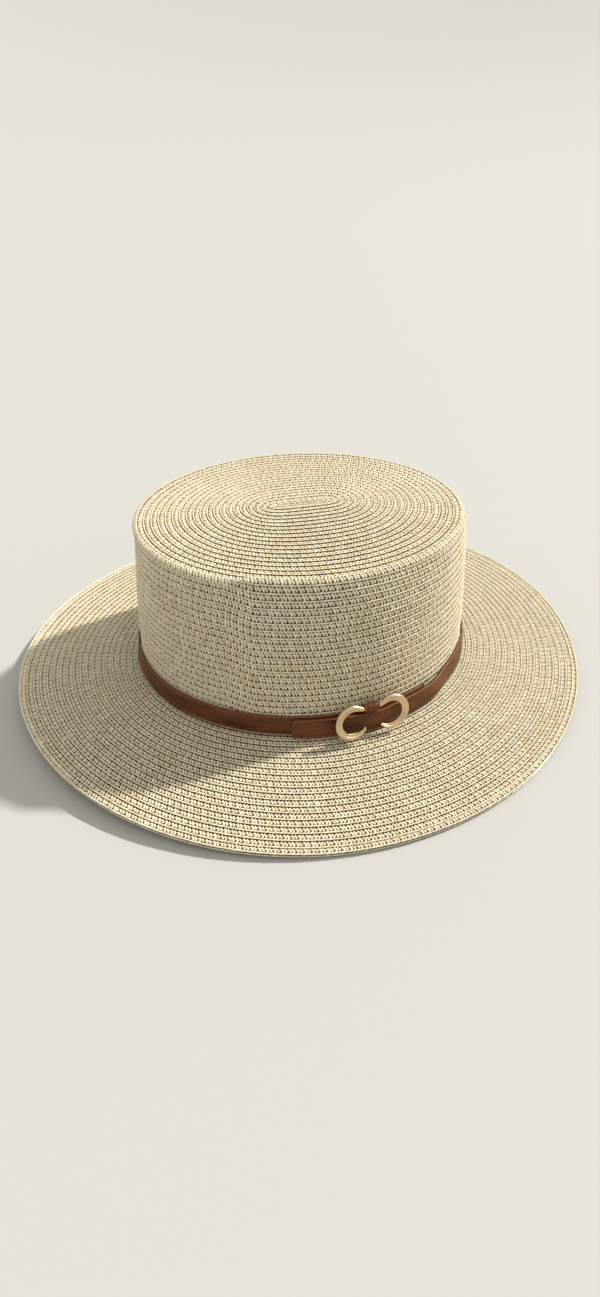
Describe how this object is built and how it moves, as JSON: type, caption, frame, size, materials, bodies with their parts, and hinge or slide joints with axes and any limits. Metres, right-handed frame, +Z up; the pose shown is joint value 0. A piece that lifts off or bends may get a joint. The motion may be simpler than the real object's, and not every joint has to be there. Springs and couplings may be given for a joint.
{
  "type": "straw sun hat",
  "caption": "Wide-brimmed straw sun hat with a flat oval crown, sewn-braid rows and a leather belt with an open double-ring buckle.",
  "frame": {"origin": "under the middle of the brim, on the surface the hat rests on", "axes": "+X along the crown oval's long axis, from back to front; +Z up through the crown; the buckle is on the -Y side"},
  "size_m": [0.3494, 0.3234, 0.0992],
  "materials": {
    "straw": "sewn paper-straw braid, matt, pale cream",
    "sweatband_cloth": "ribbed grosgrain, matt",
    "belt_leather": "smooth brown leather, soft sheen",
    "keeper_leather": "reddish brown leather, soft sheen",
    "buckle_metal": "pale satin gold plate",
    "edge_wire": "plain drawn wire, hidden in the edge",
    "thread": "brown sewing thread"
  },
  "bodies": {
    "hat": {"crown_tip": "straw", "crown_side": "straw", "brim": "straw", "brim_edge_row": "straw", "brim_edge_wire": "edge_wire", "sweatband": "sweatband_cloth", "belt_strap": "belt_leather", "belt_tacks": "thread", "belt_keeper": "keeper_leather"},
    "buckle": {"buckle": "buckle_metal"}
  },
  "joints": [
    {"name": "buckle_swing", "type": "hinge", "parent": "hat", "child": "buckle", "pos_m": [0.01471, -0.09313, 0.02558], "axis": [-0.9928, -0.1201, 0], "range_deg": [0, 90]}
  ]
}
